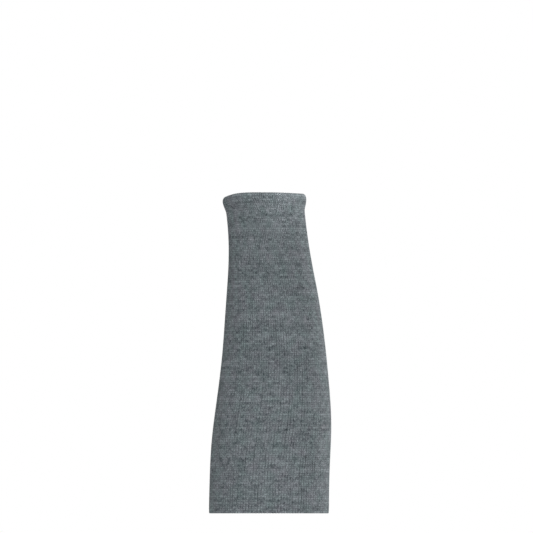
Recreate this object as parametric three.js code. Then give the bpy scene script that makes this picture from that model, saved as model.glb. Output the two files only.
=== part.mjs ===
// A knitted cut-resistant work sleeve, kept in the shape it takes when drawn on over a forearm.
// It is one tube of thick heather-grey jersey, worn with the narrow end at the wrist.
// At both ends the tube is folded over and turned in, so each opening has a soft edge and an inner hem.
// Millimetres. +Z runs up the forearm to the wrist, -Y is the back-of-hand side and -X the thumb side.
// The origin is the middle of the arm opening, on the plane of its folded edge.
import * as THREE from "three";

// Driving dimensions.
const SLEEVE_LENGTH = 305; // folded arm edge to the crest of the wrist roll
const ARM_WIDTH = 114; // outside, at the arm opening
const ARM_DEPTH = 96; // outside, at the arm opening
const WRIST_WIDTH = 74; // outside, at the crease below the wrist roll
const WRIST_DEPTH = 54; // outside, at the same crease
const KNIT_THICKNESS = 2; // one layer of the knit
const LAYER_GAP = 0.3; // clearance between a turned-in hem and the tube round it
const ROLL_HEIGHT = 17; // wrist crease to the crest of the roll
const ROLL_SWELL = 2.9; // how far the roll stands out from the line of the tube
const ROLL_EASE = 1.6; // how slowly the roll starts to stand out above the crease
const ROLL_CROWN = 4.6; // height of the rounded top of the roll
const THUMB_DIP = 4.2; // how far the roll sinks on the thumb side
const LITTLE_DIP = 1.4; // how far it sinks on the little-finger side
const DIP_REACH = 25; // how far below the crease the tube follows these dips
const ARM_FOLD = 1; // height of the pressed curve at the arm edge
const WRIST_HEM = 22; // how far the knit is turned in at the wrist
const ARM_HEM = 16; // how far the knit is turned in at the arm edge

// How finely the forms are stepped.
const STATIONS = 56; // round the sleeve
const TUBE_ROWS = 15; // up the tube, from the arm edge to the wrist crease
const ROLL_ROWS = 6; // up the side of the roll
const CROWN_STEPS = 7; // over the top of the roll
const HOLLOW_STEPS = 5; // over the hollow inside the roll
const FOLD_STEPS = 5; // round the arm edge
const HEM_ROWS = 5; // up the inside of a turned-in hem

const heatherGrey = 0x666c70;
const heatherInside = 0x5f6568;

// The arm's sections, from the arm edge up. "up" is a share of the length. "broad" and "deep" run from
// 0, the wrist's size, to 1, the arm's size. "lean" moves a section towards the little finger, as a share
// of ARM_WIDTH, and "bow" moves it away from the back of the hand, as a share of ARM_DEPTH.
const SECTIONS = [
  { up: 0.0, broad: 1.0, deep: 1.0, lean: 0.0, bow: 0.0 },
  { up: 0.1, broad: 0.985, deep: 1.0, lean: 0.004, bow: 0.002 },
  { up: 0.18, broad: 0.99, deep: 0.985, lean: 0.012, bow: 0.004 },
  { up: 0.27, broad: 0.96, deep: 0.94, lean: 0.028, bow: 0.004 },
  { up: 0.33, broad: 0.88, deep: 0.87, lean: 0.037, bow: 0.002 },
  { up: 0.4, broad: 0.765, deep: 0.77, lean: 0.042, bow: -0.003 },
  { up: 0.5, broad: 0.605, deep: 0.62, lean: 0.045, bow: -0.012 },
  { up: 0.6, broad: 0.458, deep: 0.46, lean: 0.038, bow: -0.022 },
  { up: 0.7, broad: 0.28, deep: 0.28, lean: 0.026, bow: -0.031 },
  { up: 0.775, broad: 0.125, deep: 0.14, lean: 0.012, bow: -0.037 },
  { up: 0.85, broad: 0.026, deep: 0.04, lean: -0.004, bow: -0.041 },
  { up: 0.92, broad: 0.0, deep: 0.0, lean: -0.022, bow: -0.044 },
  { up: 1.0, broad: 0.0, deep: 0.0, lean: -0.041, bow: -0.046 },
];

// Puckers that the tension of the fold draws into the roll. "at" is degrees round from the front towards
// the little finger, "spread" its half width in degrees, and "pinch" the share of the swell that it takes.
const PUCKERS = [
  { at: -64, spread: 9, pinch: 0.34 },
  { at: 28, spread: 6, pinch: 0.3 },
  { at: 50, spread: 8, pinch: 0.26 },
  { at: 128, spread: 9, pinch: 0.28 },
  { at: 171, spread: 8, pinch: 0.22 },
  { at: 229, spread: 9, pinch: 0.3 },
];

const HEM_OUTER = -KNIT_THICKNESS - LAYER_GAP; // a hem's outer face, from the line of the tube
const HEM_INNER = HEM_OUTER - KNIT_THICKNESS; // a hem's inner face
const CREASE = SLEEVE_LENGTH - ROLL_HEIGHT; // height of the crease below the roll
const CROWN_FOOT = SLEEVE_LENGTH - ROLL_CROWN; // height at which the roll's top starts to round over
const DIP_START = CREASE - DIP_REACH; // height at which the tube starts to follow the roll's dip

const COLUMNS = ["broad", "deep", "lean", "bow"];
const sectionAt = new THREE.CubicInterpolant(
  SECTIONS.map((row) => row.up),
  SECTIONS.flatMap((row) => COLUMNS.map((name) => row[name])),
  COLUMNS.length,
);

// How far the rim sinks at this turn. The crest is highest over the back of the hand and the palm,
// falls late and steeply towards the thumb, and gently towards the little finger.
function rimDip(turn) {
  const side = Math.sin(turn);
  return side < 0 ? THUMB_DIP * side ** 4 : LITTLE_DIP * side ** 2;
}

// The share of the roll's swell that is left at this turn, after its puckers.
function rollFullness(turn) {
  const degrees = THREE.MathUtils.radToDeg(turn);
  return PUCKERS.reduce((left, { at, spread, pinch }) => {
    const away = THREE.MathUtils.euclideanModulo(degrees - at + 180, 360) - 180;
    return left * (1 - pinch * Math.exp(-((away / spread) ** 2)));
  }, 1);
}

// How far the roll's side stands out at this height, before its puckers.
function rollSwell(up) {
  const share = THREE.MathUtils.clamp((up - CREASE) / (CROWN_FOOT - CREASE), 0, 1);
  return ROLL_SWELL * Math.sin((share * Math.PI) / 2) ** ROLL_EASE;
}

// A point of the sleeve: "turn" goes round from the front towards the little finger, "up" is the height
// along the arm, "out" the distance outwards from the line of the tube, and "swell" the roll's share of it.
function onArm(turn, { up, out, swell = 0 }) {
  const [broad, deep, lean, bow] = sectionAt.evaluate(
    THREE.MathUtils.clamp(up / SLEEVE_LENGTH, 0, 1),
  );
  const halfWidth = THREE.MathUtils.lerp(WRIST_WIDTH, ARM_WIDTH, broad) / 2;
  const halfDepth = THREE.MathUtils.lerp(WRIST_DEPTH, ARM_DEPTH, deep) / 2;
  const outwards = new THREE.Vector2(
    Math.sin(turn) / halfWidth,
    -Math.cos(turn) / halfDepth,
  ).normalize();
  const reach = out + swell * rollFullness(turn);
  const sink = rimDip(turn) * THREE.MathUtils.smoothstep(up, DIP_START, CREASE);
  return new THREE.Vector3(
    halfWidth * Math.sin(turn) + reach * outwards.x + lean * ARM_WIDTH,
    -halfDepth * Math.cos(turn) + reach * outwards.y + bow * ARM_DEPTH,
    up - sink,
  );
}

// Evenly spaced numbers from one end to the other, both included.
function steps(from, to, count) {
  return Array.from({ length: count + 1 }, (_, i) =>
    THREE.MathUtils.lerp(from, to, i / count),
  );
}

// The half ellipse of a fold from one face to the other, with its crest "rise" above its foot.
function foldArc({ from, to, fromSwell = 0, toSwell = 0, foot, rise, count }) {
  return steps(0, Math.PI, count).map((angle) => {
    const across = (1 - Math.cos(angle)) / 2;
    return {
      up: foot + rise * Math.sin(angle),
      out: THREE.MathUtils.lerp(from, to, across),
      swell: THREE.MathUtils.lerp(fromSwell, toSwell, across),
    };
  });
}

// A ring of knit: its closed outline is lathed once round, and each point is then laid on the arm.
function knitRing(outline) {
  const closed = [...outline, outline[0]];
  const ring = new THREE.LatheGeometry(
    closed.map(({ out, up }) => new THREE.Vector2(ARM_WIDTH / 2 + out, up)),
    STATIONS,
  );
  const position = ring.getAttribute("position");
  for (let i = 0; i < position.count; i += 1) {
    const station = Math.floor(i / closed.length) % STATIONS;
    const point = onArm((station / STATIONS) * 2 * Math.PI, closed[i % closed.length]);
    position.setXYZ(i, point.x, point.y, point.z);
  }
  ring.deleteAttribute("uv");
  ring.computeVertexNormals();
  return ring;
}

function knitMesh(name, geometry, color) {
  const material = new THREE.MeshStandardMaterial({ color, roughness: 0.95, metalness: 0 });
  const mesh = new THREE.Mesh(geometry, material);
  mesh.name = name;
  return mesh;
}

// The tube: up the outside from the arm edge, over the roll, and back down the inside.
function sleeveTube() {
  const tubeHeights = steps(ARM_FOLD, CREASE, TUBE_ROWS);
  const rollHeights = steps(CREASE, CROWN_FOOT, ROLL_ROWS).slice(1);
  const outside = [...tubeHeights, ...rollHeights]
    .slice(1, -1)
    .map((up) => ({ up, out: 0, swell: rollSwell(up) }));
  const crown = foldArc({
    from: 0,
    fromSwell: ROLL_SWELL,
    to: HEM_INNER,
    foot: CROWN_FOOT,
    rise: ROLL_CROWN,
    count: CROWN_STEPS,
  });
  const hollow = foldArc({
    from: HEM_OUTER,
    to: -KNIT_THICKNESS,
    toSwell: ROLL_SWELL,
    foot: CROWN_FOOT,
    rise: ROLL_CROWN - KNIT_THICKNESS,
    count: HOLLOW_STEPS,
  });
  const inside = [KNIT_THICKNESS, ...tubeHeights.slice(1), ...rollHeights]
    .slice(0, -1)
    .reverse()
    .map((up) => ({ up, out: -KNIT_THICKNESS, swell: rollSwell(up) }));
  const armFold = foldArc({
    from: HEM_INNER,
    to: 0,
    foot: ARM_FOLD,
    rise: -ARM_FOLD,
    count: FOLD_STEPS,
  });
  const shelf = { up: KNIT_THICKNESS, out: HEM_INNER };
  return knitRing([...armFold, ...outside, ...crown, ...hollow, ...inside, shelf]);
}

// A turned-in hem: one layer of knit that lies inside the tube between two heights.
function turnedHem(low, high) {
  const heights = steps(low, high, HEM_ROWS);
  return knitRing([
    ...heights.map((up) => ({ up, out: HEM_OUTER })),
    ...heights.reverse().map((up) => ({ up, out: HEM_INNER })),
  ]);
}

const sleeve = new THREE.Group();
sleeve.add(
  knitMesh("sleeve_tube", sleeveTube(), heatherGrey),
  knitMesh(
    "wrist_hem",
    turnedHem(SLEEVE_LENGTH - WRIST_HEM, CROWN_FOOT - LAYER_GAP),
    heatherInside,
  ),
  knitMesh("arm_hem", turnedHem(KNIT_THICKNESS + LAYER_GAP, ARM_HEM), heatherInside),
);

export default sleeve;
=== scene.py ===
import math

import bpy
import numpy as np
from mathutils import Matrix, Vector
from mathutils.bvhtree import BVHTree


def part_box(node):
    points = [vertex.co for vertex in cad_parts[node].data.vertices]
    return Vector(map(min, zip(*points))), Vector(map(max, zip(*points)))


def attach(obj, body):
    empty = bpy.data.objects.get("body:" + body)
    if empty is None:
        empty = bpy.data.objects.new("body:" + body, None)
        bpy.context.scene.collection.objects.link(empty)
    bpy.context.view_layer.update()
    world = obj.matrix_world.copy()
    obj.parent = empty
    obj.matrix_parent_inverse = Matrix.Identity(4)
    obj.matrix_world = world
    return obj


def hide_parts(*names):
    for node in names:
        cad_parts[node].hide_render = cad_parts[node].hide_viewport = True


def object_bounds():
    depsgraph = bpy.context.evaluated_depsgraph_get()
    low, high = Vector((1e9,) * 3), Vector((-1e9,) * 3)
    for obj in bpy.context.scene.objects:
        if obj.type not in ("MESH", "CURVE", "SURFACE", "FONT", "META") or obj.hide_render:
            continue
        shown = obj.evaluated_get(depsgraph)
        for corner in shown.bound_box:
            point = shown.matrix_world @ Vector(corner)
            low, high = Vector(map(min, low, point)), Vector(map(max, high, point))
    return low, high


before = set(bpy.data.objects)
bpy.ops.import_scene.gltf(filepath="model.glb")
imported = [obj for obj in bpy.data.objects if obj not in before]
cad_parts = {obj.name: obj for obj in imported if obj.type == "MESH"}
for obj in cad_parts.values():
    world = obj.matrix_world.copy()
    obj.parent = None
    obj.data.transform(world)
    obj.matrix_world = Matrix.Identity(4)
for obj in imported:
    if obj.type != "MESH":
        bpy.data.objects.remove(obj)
cad_low, cad_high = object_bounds()


# The view: level and straight on to the front of the sleeve, with no perspective.
# The photograph is 533 pixels square, and one pixel of it is 0.949 mm of the sleeve.
PHOTO_PIXELS = 533
METRES_PER_PIXEL = 0.0009493
ARM_EDGE_PIXEL = Vector((268.9, 513.38))  # where the middle of the arm opening lies in it
CAMERA_DISTANCE = 4.0

from_middle = Vector((PHOTO_PIXELS / 2 - ARM_EDGE_PIXEL.x, ARM_EDGE_PIXEL.y - PHOTO_PIXELS / 2))
view_middle = from_middle * METRES_PER_PIXEL
bpy.ops.object.camera_add(
    location=(view_middle.x, -CAMERA_DISTANCE, view_middle.y),
    rotation=(math.radians(90), 0, 0),
)
camera = bpy.context.object
camera.data.type = "ORTHO"
camera.data.ortho_scale = PHOTO_PIXELS * METRES_PER_PIXEL
camera.data.clip_end = 10
bpy.context.scene.camera = camera
bpy.context.scene.view_settings.view_transform = "Standard"


# The floor is pale and matt. It lies a little below the sleeve, which is held up in the air, and it
# fades out into the white room all round. From below it is clear, so that it hides nothing.
FLOOR_DROP = 0.04
FLOOR_RADIUS = 0.5
FLOOR_SOLID, FLOOR_GONE = 0.12, 0.42  # where it starts to fade and where it ends

bpy.ops.object.select_all(action="DESELECT")
bpy.ops.mesh.primitive_circle_add(
    vertices=96, radius=FLOOR_RADIUS, fill_type="NGON", location=(0, 0, -FLOOR_DROP)
)
floor = bpy.context.object
floor.name = "studio_floor"
bpy.ops.object.transform_apply(location=True, rotation=True, scale=True)
floor_paint = bpy.data.materials.new("studio_floor_paint")
floor_paint.use_nodes = True
paint_nodes = floor_paint.node_tree.nodes
paint_links = floor_paint.node_tree.links
floor_shader = paint_nodes["Principled BSDF"]
floor_shader.inputs["Base Color"].default_value = (0.85, 0.85, 0.85, 1)
floor_shader.inputs["Roughness"].default_value = 0.9
floor_place = paint_nodes.new("ShaderNodeTexCoord")
floor_distance = paint_nodes.new("ShaderNodeVectorMath")
floor_distance.operation = "LENGTH"
floor_fade = paint_nodes.new("ShaderNodeMapRange")
floor_fade.interpolation_type = "SMOOTHSTEP"
floor_fade.inputs["From Min"].default_value = FLOOR_SOLID
floor_fade.inputs["From Max"].default_value = FLOOR_GONE
floor_side = paint_nodes.new("ShaderNodeNewGeometry")
floor_clear = paint_nodes.new("ShaderNodeMath")
floor_clear.operation = "MAXIMUM"
clear = paint_nodes.new("ShaderNodeBsdfTransparent")
floor_mix = paint_nodes.new("ShaderNodeMixShader")
paint_links.new(floor_place.outputs["Object"], floor_distance.inputs[0])
paint_links.new(floor_distance.outputs["Value"], floor_fade.inputs["Value"])
paint_links.new(floor_fade.outputs["Result"], floor_clear.inputs[0])
paint_links.new(floor_side.outputs["Backfacing"], floor_clear.inputs[1])
paint_links.new(floor_clear.outputs[0], floor_mix.inputs["Fac"])
paint_links.new(floor_shader.outputs["BSDF"], floor_mix.inputs[1])
paint_links.new(clear.outputs["BSDF"], floor_mix.inputs[2])
paint_links.new(floor_mix.outputs["Shader"], paint_nodes["Material Output"].inputs["Surface"])
floor.data.materials.append(floor_paint)


# The room is white where it is seen, and lights the sleeve softly from all sides.
ROOM_LIGHT = 0.4

room = bpy.data.worlds.new("white_room")
bpy.context.scene.world = room
room.use_nodes = True
room_nodes = room.node_tree.nodes
room_nodes.clear()
seen_from = room_nodes.new("ShaderNodeLightPath")
seen_white = room_nodes.new("ShaderNodeBackground")
seen_white.inputs["Color"].default_value = (1, 1, 1, 1)
seen_white.inputs["Strength"].default_value = 1.0
soft_fill = room_nodes.new("ShaderNodeBackground")
soft_fill.inputs["Color"].default_value = (0.97, 0.99, 1.0, 1)
soft_fill.inputs["Strength"].default_value = ROOM_LIGHT
choose = room_nodes.new("ShaderNodeMixShader")
room_out = room_nodes.new("ShaderNodeOutputWorld")
room_links = room.node_tree.links
room_links.new(seen_from.outputs["Is Camera Ray"], choose.inputs["Fac"])
room_links.new(soft_fill.outputs["Background"], choose.inputs[1])
room_links.new(seen_white.outputs["Background"], choose.inputs[2])
room_links.new(choose.outputs["Shader"], room_out.inputs["Surface"])


# Soft panels of light: a broad one in front, one behind for the far side, a strip that draws the
# right edge, one overhead, and a small one close in front of the roll that brightens its right half.
sleeve_middle = (cad_low + cad_high) / 2
roll_right = Vector((0.022, -0.03, cad_high.z - 0.004))  # on the roll's front, right of the middle


def add_panel(name, aim, direction, distance, size, power, spread=180):
    """A panel of soft light at this distance from what it is aimed at, with its spread in degrees."""
    place = aim + Vector(direction).normalized() * distance
    bpy.ops.object.light_add(type="AREA", location=place)
    panel = bpy.context.object
    panel.name = name
    panel.rotation_euler = (aim - place).to_track_quat("-Z", "Y").to_euler()
    panel.data.shape = "RECTANGLE"
    panel.data.size, panel.data.size_y = size
    panel.data.energy = power
    panel.data.spread = math.radians(spread)
    panel.visible_camera = False


add_panel("front_panel", sleeve_middle, (0.0, -1.0, 0.3), distance=1.5, size=(1.0, 1.0), power=13)
add_panel("far_panel", sleeve_middle, (0.0, 1.0, 0.35), distance=1.5, size=(1.0, 1.0), power=10)
add_panel("edge_panel", sleeve_middle, (0.82, 0.57, 0.35), distance=1.2, size=(0.4, 1.1), power=15)
add_panel("top_panel", sleeve_middle, (0.0, -0.1, 1.0), distance=1.4, size=(0.9, 0.9), power=3)
add_panel(
    "roll_panel", roll_right, (0.2, -0.8, 0.5), distance=0.06, size=(0.04, 0.02), power=0.0044, spread=60
)


# The sleeve is one tube of plain jersey, knitted round in thick heather yarn and worn stretched.
# Its cloth is laid out here as a flat grid of stitches, then rolled up, sewn to itself and drawn over
# the form: up the outside, over the roll at the wrist, and down the inside to the fold at the arm edge.
WALES = 116  # columns of stitches round the sleeve
COURSES = 145  # rows of stitches from the arm edge to the wrist
STEPS_PER_WALE = 5
COLUMNS = WALES * STEPS_PER_WALE
CLOTH = 0.002  # how thick the knit is
FORM_TURNS = 360  # places round the form where it is measured
OUTSIDE_ROWS = 84
ROLL_ROWS = 40
CROWN_ROWS = 10
LINING_ROWS = 3  # under the crown, on the cloth's back
FOLD_ROWS = 8
INSIDE_ROWS = 12
ROLL_DROP = 0.028  # how far below the highest point of the rim the roll starts
FOLD_HEIGHT = 0.001  # how far up the arm edge's rounded fold reaches
YARN_PROUD = 0.00022  # how far the yarn stands out from the plain form below the roll
PROUD_ENDS = 0.02  # how far below the rim the yarn starts to lie flatter
DIP_STARTS = 0.045  # how far below the rim the courses start to follow its dip
DIP_FULL = 0.018  # how far below the rim they follow it fully
SEAM = 0.00005  # the slit where one knit panel meets the next
HEM_CLEAR = 0.0025  # how far from its edges a hem's form is measured
RAY_REACH = 0.2  # from outside, how far from the axis a ray starts
ROUNDING = 2  # how many times the form's faces are split and rounded before it is measured

tube_low, tube_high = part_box("sleeve_tube")
wrist_low, wrist_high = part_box("wrist_hem")
arm_low, arm_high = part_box("arm_hem")
crown_level = wrist_high.z  # where the roll's sides end and its crown starts, at the highest point
crown_height = tube_high.z - crown_level
roll_level = tube_high.z - ROLL_DROP


def smooth_copy(node):
    """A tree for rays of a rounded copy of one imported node."""
    bpy.ops.object.select_all(action="DESELECT")
    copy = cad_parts[node].copy()
    copy.data = copy.data.copy()
    copy.parent = None
    bpy.context.scene.collection.objects.link(copy)
    bpy.context.view_layer.objects.active = copy
    copy.select_set(True)
    bpy.ops.object.mode_set(mode="EDIT")
    bpy.ops.mesh.select_all(action="SELECT")
    bpy.ops.mesh.remove_doubles(threshold=1e-6)
    bpy.ops.mesh.tris_convert_to_quads(face_threshold=math.pi, shape_threshold=math.pi)
    bpy.ops.object.mode_set(mode="OBJECT")
    rounding = copy.modifiers.new("rounding", "SUBSURF")
    rounding.levels = rounding.render_levels = ROUNDING
    tree = BVHTree.FromObject(copy, bpy.context.evaluated_depsgraph_get())
    bpy.data.objects.remove(copy)
    return tree


tube_form = smooth_copy("sleeve_tube")
wrist_form = smooth_copy("wrist_hem")
arm_form = smooth_copy("arm_hem")
turns = np.arange(FORM_TURNS) / FORM_TURNS * 2 * math.pi + math.pi  # from the far side round
outwards = np.stack([np.sin(turns), -np.cos(turns), np.zeros(FORM_TURNS)], axis=1)


def measure_ring(form, heights, inside=False):
    """Where rays towards the axis, or away from it, meet the form at these heights."""
    ring = np.zeros((FORM_TURNS, 3))
    for i, (way, height) in enumerate(zip(outwards, heights)):
        way = Vector(way)
        start = Vector((0, 0, height)) + (Vector() if inside else way * RAY_REACH)
        ring[i] = form.ray_cast(start, way if inside else -way)[0]
    return ring


# The crest is looked for from above, on these places across the roll, outwards from the hem's face.
ACROSS_ROLL = np.linspace(0.0005, 0.0065, 9)
ABOVE_ROLL = 0.05
HEM_MIDDLE = 0.008  # from the hem's free edge


def measure_crest():
    """The height of the roll's crest all round."""
    inner = measure_ring(wrist_form, np.full(FORM_TURNS, wrist_low.z + HEM_MIDDLE), inside=True)
    crest = np.zeros(FORM_TURNS)
    for i, way in enumerate(outwards):
        for across in ACROSS_ROLL:
            start = Vector(inner[i]) + Vector(way) * across
            start.z = tube_high.z + ABOVE_ROLL
            hit = tube_form.ray_cast(start, Vector((0, 0, -1)))[0]
            if hit is not None:
                crest[i] = max(crest[i], hit.z)
    return crest


def soften(values, harmonics=20):
    """A ring of values with only its broad waves left."""
    waves = np.fft.rfft(values, axis=0)
    waves[harmonics:] = 0
    return np.fft.irfft(waves, n=len(values), axis=0)


dip = tube_high.z - soften(measure_crest())  # how far the rim lies below its highest point, all round
dip = dip - dip.min()


def ease(low, high, value):
    """A smooth step from 0 to 1 between two values."""
    share = np.clip((value - low) / (high - low), 0, 1)
    return share * share * (3 - 2 * share)


def heights_at(level):
    """The heights round the sleeve of a course that lies at this level where the rim is highest."""
    return level - dip * ease(tube_high.z - DIP_STARTS, tube_high.z - DIP_FULL, level)


def course_of(level):
    """The stitch map's count of courses from the arm edge up to this level."""
    return level / tube_high.z * COURSES


def spread_wales(ring, shift):
    """The ring's points shared out evenly round it, one for each step of each wale, and then shifted."""
    closed = np.vstack([ring, ring[:1]])
    lengths = np.linalg.norm(np.diff(closed, axis=0), axis=1)
    along = np.concatenate([[0], np.cumsum(lengths)])
    wanted = np.arange(COLUMNS + 1) / COLUMNS * along[-1] + shift
    wanted = np.clip(wanted, 0, along[-1])
    return np.stack([np.interp(wanted, along, closed[:, k]) for k in range(3)], axis=1)


def moved_in(ring, depth):
    """The ring moved in by this depth, level all round."""
    along = np.roll(ring[:-1], -1, axis=0) - np.roll(ring[:-1], 1, axis=0)
    inwards = np.stack([-along[:, 1], along[:, 0], np.zeros(len(along))], axis=1)
    inwards /= np.linalg.norm(inwards, axis=1)[:, None]
    if ((ring[:-1] - ring[:-1].mean(axis=0)) * inwards).sum() > 0:
        inwards = -inwards
    moved = ring[:-1] + inwards * depth
    return np.vstack([moved, moved[:1]])


# The roll is pulled round a little near its lower left end, which draws its wales aslant there.
# The way round is counted from the middle of the far side, and passes the left side first.
TWIST = -0.012  # how far it is pulled round where that is most, at the rim
TWIST_AT, TWIST_SPREAD = 0.39, 0.1  # shares of the way round
TWIST_HEIGHT = 0.019  # how far below the rim it starts
way_round = np.arange(COLUMNS + 1) / COLUMNS


def twist_at(level):
    """How far the cloth at this level is pulled round, for each column of the grid."""
    near = np.exp(-(((way_round - TWIST_AT) / TWIST_SPREAD) ** 2))
    return TWIST * near * ease(tube_high.z - TWIST_HEIGHT, tube_high.z, level)


# The soft cloth has three small creases near the roll. Each row is where a crease lies round the
# sleeve, how far below the rim, and its slant, length, width and depth.
CREASES = [
    {"at": 0.646, "below": 0.0208, "slant": 0.20, "length": 0.0054, "width": 0.0008, "depth": 0.0016},
    {"at": 0.556, "below": 0.0120, "slant": 4.0, "length": 0.0040, "width": 0.0011, "depth": 0.0008},
    {"at": 0.395, "below": 0.0190, "slant": -0.2, "length": 0.0060, "width": 0.0018, "depth": 0.0004},
]


def crease_depth(level, girth):
    """How deep the creases are at this level, for each column of a ring of this girth."""
    depth = np.zeros(COLUMNS + 1)
    for crease in CREASES:
        across = (way_round - crease["at"]) * girth
        up = level - (tube_high.z - crease["below"])
        run = math.hypot(1, crease["slant"])
        along = (across + up * crease["slant"]) / run
        off = (up - across * crease["slant"]) / run
        fall = (along / crease["length"]) ** 2 + (off / crease["width"]) ** 2
        depth += crease["depth"] * np.exp(-fall)
    return depth


def outside_ring(level):
    """The ring of the sleeve's outside at this level, with its yarn proud of the form and its creases."""
    ring = spread_wales(soften(measure_ring(tube_form, heights_at(level))), twist_at(level))
    girth = np.linalg.norm(np.diff(ring, axis=0), axis=1).sum()
    proud = YARN_PROUD * (1 - ease(tube_high.z - PROUD_ENDS, crown_level, level))
    return moved_in(ring, crease_depth(level, girth)[:-1, None] - proud)


def inside_ring(form, low, high, level):
    """The ring of a turned-in hem's face at this level, measured clear of the form's own edges."""
    measured = min(max(level, low.z + HEM_CLEAR), high.z - HEM_CLEAR)
    ring = soften(measure_ring(form, heights_at(measured), inside=True))
    ring[:, 2] = heights_at(level)
    return spread_wales(ring, twist_at(level))


outer_foot = outside_ring(crown_level)
inner_foot = inside_ring(wrist_form, wrist_low, wrist_high, crown_level)
inner_foot[:, 2] = outer_foot[:, 2]
arm_outer = outside_ring(FOLD_HEIGHT)
arm_inner = inside_ring(arm_form, arm_low, arm_high, arm_low.z)
arm_lip = arm_inner.copy()
arm_lip[:, 2] = arm_low.z - SEAM

# Each row of the grid is its points, its course and whether it shows the cloth's back. First the
# fold at the arm edge, from its inner lip under to the outside.
FOLD_SQUARE = 0.45  # how square the fold's corners are: 1 is round
tube_rows = [(arm_lip, course_of(-arm_low.z), False)]
for angle in np.linspace(0, math.pi, FOLD_ROWS + 1)[:-1]:
    side = math.copysign(abs(math.cos(angle)) ** FOLD_SQUARE, math.cos(angle))
    points = arm_inner + (arm_outer - arm_inner) * (1 - side) / 2
    points[:, 2] = FOLD_HEIGHT * (1 - math.sin(angle) ** FOLD_SQUARE)
    tube_rows.append((points, course_of(-FOLD_HEIGHT) * side, False))
# Up the outside to the roll, and over its crown to its inner lip.
for level in np.linspace(FOLD_HEIGHT, roll_level, OUTSIDE_ROWS + 1)[:-1]:
    tube_rows.append((outside_ring(level), course_of(level), False))
for level in np.linspace(roll_level, crown_level, ROLL_ROWS + 1)[:-1]:
    tube_rows.append((outside_ring(level), course_of(level), False))
for angle in np.linspace(0, math.pi, CROWN_ROWS + 1):
    points = outer_foot + (inner_foot - outer_foot) * (1 - math.cos(angle)) / 2
    points[:, 2] += crown_height * math.sin(angle)
    over = (COURSES - course_of(crown_level)) * 2 * angle / math.pi
    tube_rows.append((points, course_of(crown_level) + over, False))
# Round the lip, under the crown and back down the inside of the tube.
lip_back = moved_in(inner_foot, -CLOTH)
tube_rows.append((lip_back, tube_rows[-1][1], True))
inner_wall_top = moved_in(outer_foot, CLOTH)
for angle in np.linspace(0, math.pi, LINING_ROWS + 1)[1:-1]:
    points = lip_back + (inner_wall_top - lip_back) * (1 - math.cos(angle)) / 2
    points[:, 2] += (crown_height - CLOTH) * math.sin(angle)
    tube_rows.append((points, course_of(crown_level), True))
for level in np.linspace(crown_level, arm_low.z, INSIDE_ROWS + 1):
    tube_rows.append((moved_in(outside_ring(level), CLOTH), course_of(level), True))
shelf = moved_in(arm_inner, -CLOTH / 2)
shelf[:, 2] = arm_lip[:, 2]
tube_rows.append((shelf, course_of(-arm_low.z), True))

# Across each wale the cloth falls from the crown of its stitches to the groove before the next one.
WALE_PROFILE = np.array([1.0, 0.36, 0.0, 0.0, 0.36])
WALE_RELIEF = 0.00025  # depth of the groove where the wales are widest
WIDEST_WALE = 0.003
BACK_RELIEF = 0.3  # how deep it is on the cloth's back, as a share of the face
SHARP_CORNER = math.radians(50)


def sew_up(name, rows):
    """A closed ring of cloth from its rows: a flat grid, rolled up, drawn to its place and sewn."""
    bpy.ops.object.select_all(action="DESELECT")
    bpy.ops.mesh.primitive_grid_add(x_subdivisions=COLUMNS, y_subdivisions=len(rows), size=1)
    piece = bpy.context.object
    piece.name = piece.data.name = name
    places = np.array([points for points, _, _ in rows])
    course = np.array([course for _, course, _ in rows + rows[:1]])
    back = np.array([back for _, _, back in rows])

    around = np.roll(places[:, :-1], -1, axis=1) - np.roll(places[:, :-1], 1, axis=1)
    around = np.concatenate([around, around[:, :1]], axis=1)
    forward = np.roll(places, -1, axis=0) - places
    forward *= (back == np.roll(back, -1))[:, None, None]  # a corner faces the way its own side does
    normal = np.cross(around, forward + np.roll(forward, 1, axis=0))
    normal /= np.linalg.norm(normal, axis=2)[:, :, None]
    pitch = np.linalg.norm(around, axis=2) / 2 * STEPS_PER_WALE
    groove = WALE_PROFILE[np.arange(COLUMNS + 1) % STEPS_PER_WALE]
    depth = WALE_RELIEF * np.sqrt(pitch / WIDEST_WALE) * groove[None, :]
    depth[back] *= BACK_RELIEF
    places = places - normal * depth[:, :, None]
    piece.data.vertices.foreach_set("co", np.concatenate([places, places[:1]]).reshape(-1))

    stitches = piece.data.uv_layers.active
    stitches.name = "stitches"
    corner = np.zeros(len(piece.data.loops), dtype=np.int32)
    piece.data.loops.foreach_get("vertex_index", corner)
    row, column = corner // (COLUMNS + 1), corner % (COLUMNS + 1)
    stitches.data.foreach_set("uv", np.stack([column / STEPS_PER_WALE, course[row]], axis=1).reshape(-1))
    side = np.repeat((back & np.roll(back, -1)).astype(np.int32), COLUMNS)
    piece.data.polygons.foreach_set("material_index", side)
    piece.data.update()

    bpy.ops.object.mode_set(mode="EDIT")
    bpy.ops.mesh.select_all(action="SELECT")
    bpy.ops.mesh.remove_doubles(threshold=1e-7)
    bpy.ops.mesh.normals_make_consistent(inside=False)
    bpy.ops.object.mode_set(mode="OBJECT")
    bpy.ops.object.shade_smooth_by_angle(angle=SHARP_CORNER)
    return piece


sleeve = sew_up("knit_sleeve", tube_rows)


def group_with(name, inputs, outputs):
    """A new shader node group with named sockets, and its two end nodes."""
    group = bpy.data.node_groups.new(name, "ShaderNodeTree")
    for socket, kind, value in inputs:
        made = group.interface.new_socket(socket, in_out="INPUT", socket_type=kind)
        if value is not None:
            made.default_value = value
    for socket, kind in outputs:
        group.interface.new_socket(socket, in_out="OUTPUT", socket_type=kind)
    return group, group.nodes.new("NodeGroupInput"), group.nodes.new("NodeGroupOutput")


def put(group, socket, value):
    """A link or a plain value for one socket."""
    if isinstance(value, bpy.types.NodeSocket):
        group.links.new(value, socket)
    else:
        socket.default_value = value


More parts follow.
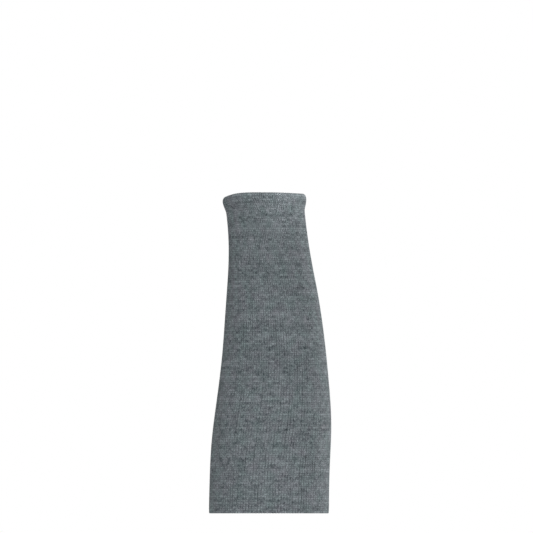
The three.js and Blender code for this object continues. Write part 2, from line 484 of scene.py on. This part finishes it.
def math_of(group, operation, *values):
    """The result of a math node of these values, which are sockets or numbers."""
    node = group.nodes.new("ShaderNodeMath")
    node.operation = operation
    for socket, value in zip(node.inputs, values):
        put(group, socket, value)
    return node.outputs[0]


def point_of(group, x, y, z):
    node = group.nodes.new("ShaderNodeCombineXYZ")
    for socket, value in zip(node.inputs, (x, y, z)):
        put(group, socket, value)
    return node.outputs[0]


def wale_and_course(group, ends):
    """The stitch map's two numbers: the wale round the sleeve and the course along it."""
    split = group.nodes.new("ShaderNodeSeparateXYZ")
    group.links.new(ends.outputs["Stitch"], split.inputs[0])
    return split.outputs["X"], split.outputs["Y"]


STITCHES_PER_RADIAN = WALES / (2 * math.pi)


def noise_round(group, wale, up, per_stitch, detail=1.0):
    """Noise from about -0.3 to 0.3 that closes on itself round the sleeve."""
    turn = math_of(group, "DIVIDE", wale, STITCHES_PER_RADIAN)
    reach = STITCHES_PER_RADIAN * per_stitch
    round_x = math_of(group, "MULTIPLY", math_of(group, "COSINE", turn), reach)
    round_y = math_of(group, "MULTIPLY", math_of(group, "SINE", turn), reach)
    node = group.nodes.new("ShaderNodeTexNoise")
    node.inputs["Scale"].default_value = 1.0
    node.inputs["Detail"].default_value = detail
    node.inputs["Roughness"].default_value = 0.5
    group.links.new(point_of(group, round_x, round_y, up), node.inputs["Vector"])
    return math_of(group, "SUBTRACT", node.outputs["Fac"], 0.5)


# The face of jersey: each stitch is a V of two legs that lean in towards the middle of its wale.
# The groove between two wales is deep, and the one between a stitch's own legs is shallow.
LEG_LEAN = 0.42  # how much higher a leg stands at the edge of its wale, in courses
WALE_WANDER = 0.9  # how far a wale strays to the side, as a share of the noise
GROOVE_UNEVEN = 2.4  # how unevenly the grooves between wales are darkened with painted shade, in the same way
LEG_HOLLOW = 0.62  # how much painted shade lies between two legs, as a share of between two wales
knit_face, face_in, face_out = group_with(
    "jersey_face",
    [("Stitch", "NodeSocketVector", None)],
    [("Height", "NodeSocketFloat"), ("Hollow", "NodeSocketFloat"), ("Yarn Row", "NodeSocketFloat")],
)
wale, course = wale_and_course(knit_face, face_in)
wander = noise_round(knit_face, wale, math_of(knit_face, "MULTIPLY", course, 0.09), per_stitch=0.35)
in_wale = math_of(knit_face, "FRACT", math_of(knit_face, "MULTIPLY_ADD", wander, WALE_WANDER, wale))
off_middle = math_of(knit_face, "ABSOLUTE", math_of(knit_face, "MULTIPLY_ADD", in_wale, 2.0, -1.0))
phase = math_of(knit_face, "MULTIPLY_ADD", off_middle, -LEG_LEAN, course)
in_leg = math_of(knit_face, "FRACT", phase)
leg_arch = math_of(knit_face, "SINE", math_of(knit_face, "MULTIPLY", in_leg, math.pi))
leg_arch = math_of(knit_face, "POWER", leg_arch, 0.6)
wale_groove = math_of(knit_face, "POWER", off_middle, 4.0)
wale_crown = math_of(knit_face, "MULTIPLY_ADD", wale_groove, -0.95, 1.0)
leg_groove = math_of(knit_face, "POWER", math_of(knit_face, "SUBTRACT", 1.0, off_middle), 4.0)
leg_crown = math_of(knit_face, "MULTIPLY_ADD", leg_groove, -0.25, 1.0)
face_height = math_of(knit_face, "MULTIPLY", leg_arch, math_of(knit_face, "MULTIPLY", wale_crown, leg_crown))
# The hollow is where painted shade is laid into the yarn's colour: deepest and uneven in the grooves between
# wales, less in the gaps between legs.
uneven = noise_round(knit_face, wale, math_of(knit_face, "MULTIPLY", course, 0.05), per_stitch=1.3)
groove_shade = math_of(knit_face, "MULTIPLY_ADD", uneven, GROOVE_UNEVEN, 0.72)
wale_hollow = math_of(knit_face, "MULTIPLY", wale_groove, groove_shade)
leg_hollow = math_of(knit_face, "MULTIPLY", math_of(knit_face, "SUBTRACT", 1.0, leg_arch), LEG_HOLLOW)
hollow = math_of(knit_face, "MAXIMUM", wale_hollow, leg_hollow)
knit_face.links.new(face_height, face_out.inputs["Height"])
knit_face.links.new(hollow, face_out.inputs["Hollow"])
knit_face.links.new(math_of(knit_face, "FLOOR", phase), face_out.inputs["Yarn Row"])

# The back of jersey: rows of loop heads that lie over one another like fish scales.
LOOP_HEAD = 0.27  # how far a loop's head rises and falls, in courses
knit_back, back_in, back_out = group_with(
    "jersey_back",
    [("Stitch", "NodeSocketVector", None)],
    [("Height", "NodeSocketFloat"), ("Hollow", "NodeSocketFloat"), ("Yarn Row", "NodeSocketFloat")],
)
wale, course = wale_and_course(knit_back, back_in)
wave = math_of(knit_back, "COSINE", math_of(knit_back, "MULTIPLY", wale, 2 * math.pi))
phase = math_of(knit_back, "MULTIPLY_ADD", wave, LOOP_HEAD, course)
in_loop = math_of(knit_back, "FRACT", phase)
loop_arch = math_of(knit_back, "SINE", math_of(knit_back, "MULTIPLY", in_loop, math.pi))
loop_height = math_of(knit_back, "POWER", loop_arch, 0.7)
knit_back.links.new(loop_height, back_out.inputs["Height"])
# The hollow below each loop head is where painted shade goes into the yarn's colour.
knit_back.links.new(math_of(knit_back, "SUBTRACT", 1.0, loop_height), back_out.inputs["Hollow"])
knit_back.links.new(math_of(knit_back, "FLOOR", phase), back_out.inputs["Yarn Row"])

# Heather yarn: light and dark fibres spun together, so its tone runs in streaks along each course.
# Its hue drifts a little between a rosier and a greener grey, and painted shade darkens its colour in the
# hollows of the knit.
heather, yarn_in, yarn_out = group_with(
    "heather_yarn",
    [
        ("Stitch", "NodeSocketVector", None),
        ("Yarn Row", "NodeSocketFloat", 0.0),
        ("Hollow", "NodeSocketFloat", 0.0),
        ("Dark", "NodeSocketColor", (0.05, 0.05, 0.05, 1)),
        ("Light", "NodeSocketColor", (0.3, 0.3, 0.3, 1)),
        ("Streaks", "NodeSocketFloat", 1.0),
        ("Flecks", "NodeSocketFloat", 1.0),
        ("Bands", "NodeSocketFloat", 1.0),
        ("Rosiness", "NodeSocketFloat", 0.3),
        ("Hollow Shade", "NodeSocketFloat", 0.3),
    ],
    [("Color", "NodeSocketColor"), ("Fibres", "NodeSocketFloat")],
)
wale, course = wale_and_course(heather, yarn_in)
yarn_row = yarn_in.outputs["Yarn Row"]


def yarn_noise(per_stitch, row_step, up_step=0.0, detail=1.0):
    """Noise that changes this often along a stitch, and by these steps from row to row and up a row."""
    up = math_of(heather, "MULTIPLY_ADD", course, up_step, math_of(heather, "MULTIPLY", yarn_row, row_step))
    return noise_round(heather, wale, up, per_stitch, detail)


streaks = yarn_noise(per_stitch=0.42, row_step=7.31)
flecks = yarn_noise(per_stitch=2.6, row_step=3.17, up_step=1.3)
fibres = yarn_noise(per_stitch=7.0, row_step=1.9, up_step=9.0, detail=2.0)
bands = yarn_noise(per_stitch=0.02, row_step=0.83)
hue = yarn_noise(per_stitch=0.25, row_step=0.0, up_step=0.19, detail=2.0)
tone = math_of(heather, "MULTIPLY_ADD", streaks, yarn_in.outputs["Streaks"], 0.5)
tone = math_of(heather, "MULTIPLY_ADD", flecks, yarn_in.outputs["Flecks"], tone)
tone = math_of(heather, "MULTIPLY_ADD", bands, yarn_in.outputs["Bands"], tone)
tone = math_of(heather, "MULTIPLY_ADD", fibres, 0.5, tone)
blend = heather.nodes.new("ShaderNodeMix")
blend.data_type = "RGBA"
blend.clamp_factor = True
heather.links.new(tone, blend.inputs["Factor"])
heather.links.new(yarn_in.outputs["Dark"], blend.inputs["A"])
heather.links.new(yarn_in.outputs["Light"], blend.inputs["B"])
# Painted shade: the colour is darkened in the hollow to stand in for the shade that falls there. The same
# factors also carry the hue's drift.
in_shade = math_of(heather, "MULTIPLY", yarn_in.outputs["Hollow"], yarn_in.outputs["Hollow Shade"])
shade = math_of(heather, "SUBTRACT", 1.0, in_shade)
rosier = math_of(heather, "MULTIPLY", hue, yarn_in.outputs["Rosiness"])
red_hue_and_shade = math_of(heather, "MULTIPLY", shade, math_of(heather, "ADD", 1.0, rosier))
blue_hue_and_shade = math_of(heather, "MULTIPLY", shade, math_of(heather, "MULTIPLY_ADD", rosier, 0.42, 1.0))
shaded = heather.nodes.new("ShaderNodeVectorMath")
shaded.operation = "MULTIPLY"
heather.links.new(blend.outputs["Result"], shaded.inputs[0])
heather.links.new(point_of(heather, red_hue_and_shade, shade, blue_hue_and_shade), shaded.inputs[1])
heather.links.new(shaded.outputs[0], yarn_out.inputs["Color"])
heather.links.new(fibres, yarn_out.inputs["Fibres"])

DARK_GREY = (0.052, 0.064, 0.072, 1)
LIGHT_GREY = (0.283, 0.319, 0.335, 1)
FIBRE_RELIEF = 0.35  # of the stitch's own height
STREAKS, FLECKS, BANDS = 1.0, 1.6, 0.5  # how strongly each changes the yarn's tone
ROSINESS = 0.33


def knit_material(name, stitch_group, stitch_depth, hollow_shade):
    """Heather knit seen from one of its two sides, laid by the piece's own stitch map."""
    cloth = bpy.data.materials.new(name)
    cloth.use_nodes = True
    tree = cloth.node_tree
    shader = tree.nodes["Principled BSDF"]
    shader.inputs["Roughness"].default_value = 0.9
    shader.inputs["Specular IOR Level"].default_value = 0.2
    shader.inputs["Sheen Weight"].default_value = 0.05
    shader.inputs["Sheen Roughness"].default_value = 0.5
    stitch_map = tree.nodes.new("ShaderNodeUVMap")
    stitch_map.uv_map = "stitches"
    stitch = tree.nodes.new("ShaderNodeGroup")
    stitch.node_tree = stitch_group
    tree.links.new(stitch_map.outputs["UV"], stitch.inputs["Stitch"])
    yarn = tree.nodes.new("ShaderNodeGroup")
    yarn.node_tree = heather
    yarn.inputs["Dark"].default_value = DARK_GREY
    yarn.inputs["Light"].default_value = LIGHT_GREY
    yarn.inputs["Streaks"].default_value = STREAKS
    yarn.inputs["Flecks"].default_value = FLECKS
    yarn.inputs["Bands"].default_value = BANDS
    yarn.inputs["Rosiness"].default_value = ROSINESS
    yarn.inputs["Hollow Shade"].default_value = hollow_shade
    tree.links.new(stitch_map.outputs["UV"], yarn.inputs["Stitch"])
    tree.links.new(stitch.outputs["Yarn Row"], yarn.inputs["Yarn Row"])
    tree.links.new(stitch.outputs["Hollow"], yarn.inputs["Hollow"])
    tree.links.new(yarn.outputs["Color"], shader.inputs["Base Color"])
    stitch_height = stitch.outputs["Height"]
    with_fibres = math_of(tree, "MULTIPLY_ADD", yarn.outputs["Fibres"], FIBRE_RELIEF, stitch_height)
    bump = tree.nodes.new("ShaderNodeBump")
    bump.inputs["Distance"].default_value = stitch_depth
    bump.inputs["Strength"].default_value = 1.0
    tree.links.new(with_fibres, bump.inputs["Height"])
    tree.links.new(bump.outputs["Normal"], shader.inputs["Normal"])
    return cloth


# The hollow shade is how strongly each side's hollows are darkened with painted shade.
face_cloth = knit_material("heather_jersey_face", knit_face, stitch_depth=0.0003, hollow_shade=0.65)
back_cloth = knit_material("heather_jersey_back", knit_back, stitch_depth=0.0004, hollow_shade=0.4)
sleeve.data.materials.append(face_cloth)
sleeve.data.materials.append(back_cloth)
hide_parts("sleeve_tube")
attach(sleeve, "root")


# A hem is an end of the same tube, turned in flat against it, so the face of its knit lines the mouth.
# It starts flush with the tube's lip and ends in a rounded free edge, where its last loops are linked.
HEM_STEPS = 9
EDGE_ROWS = 4


def turned_hem(name, form, low, high, lip_level, free_level, course_at):
    """A turned-in hem, from its lip over its face to the free edge and back up behind."""
    face = []
    for level in np.linspace(lip_level, free_level, HEM_STEPS):
        ring = inside_ring(form, low, high, level)
        face.append((ring, course_at(level)))
    rows = [(ring, course, False) for ring, course in face]
    last_ring, last_course = face[-1]
    past_edge = math.copysign(CLOTH / 2, free_level - lip_level)
    for angle in np.linspace(0, math.pi, EDGE_ROWS + 1)[1:-1]:
        points = moved_in(last_ring, -CLOTH * (1 - math.cos(angle)) / 2)
        points[:, 2] += past_edge * math.sin(angle)
        rows.append((points, last_course, False))
    rows += [(moved_in(ring, -CLOTH), course, True) for ring, course in face[::-1]]
    piece = sew_up(name, rows)
    piece.data.materials.append(face_cloth)
    piece.data.materials.append(back_cloth)
    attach(piece, "root")
    return piece


def wrist_course(level):
    """The count of courses goes on over the rim and down the hem."""
    return 2 * COURSES - course_of(level)


def arm_course(level):
    """The count of courses goes on below nought, under the fold and up the hem."""
    return -course_of(level)


wrist_free = wrist_low.z + dip.max() + CLOTH / 2
wrist_welt = turned_hem(
    "wrist_welt", wrist_form, wrist_low, wrist_high, crown_level - SEAM, wrist_free, wrist_course
)
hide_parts("wrist_hem")
arm_free = arm_high.z - CLOTH / 2
arm_welt = turned_hem("arm_welt", arm_form, arm_low, arm_high, arm_low.z + SEAM, arm_free, arm_course)
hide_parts("arm_hem")
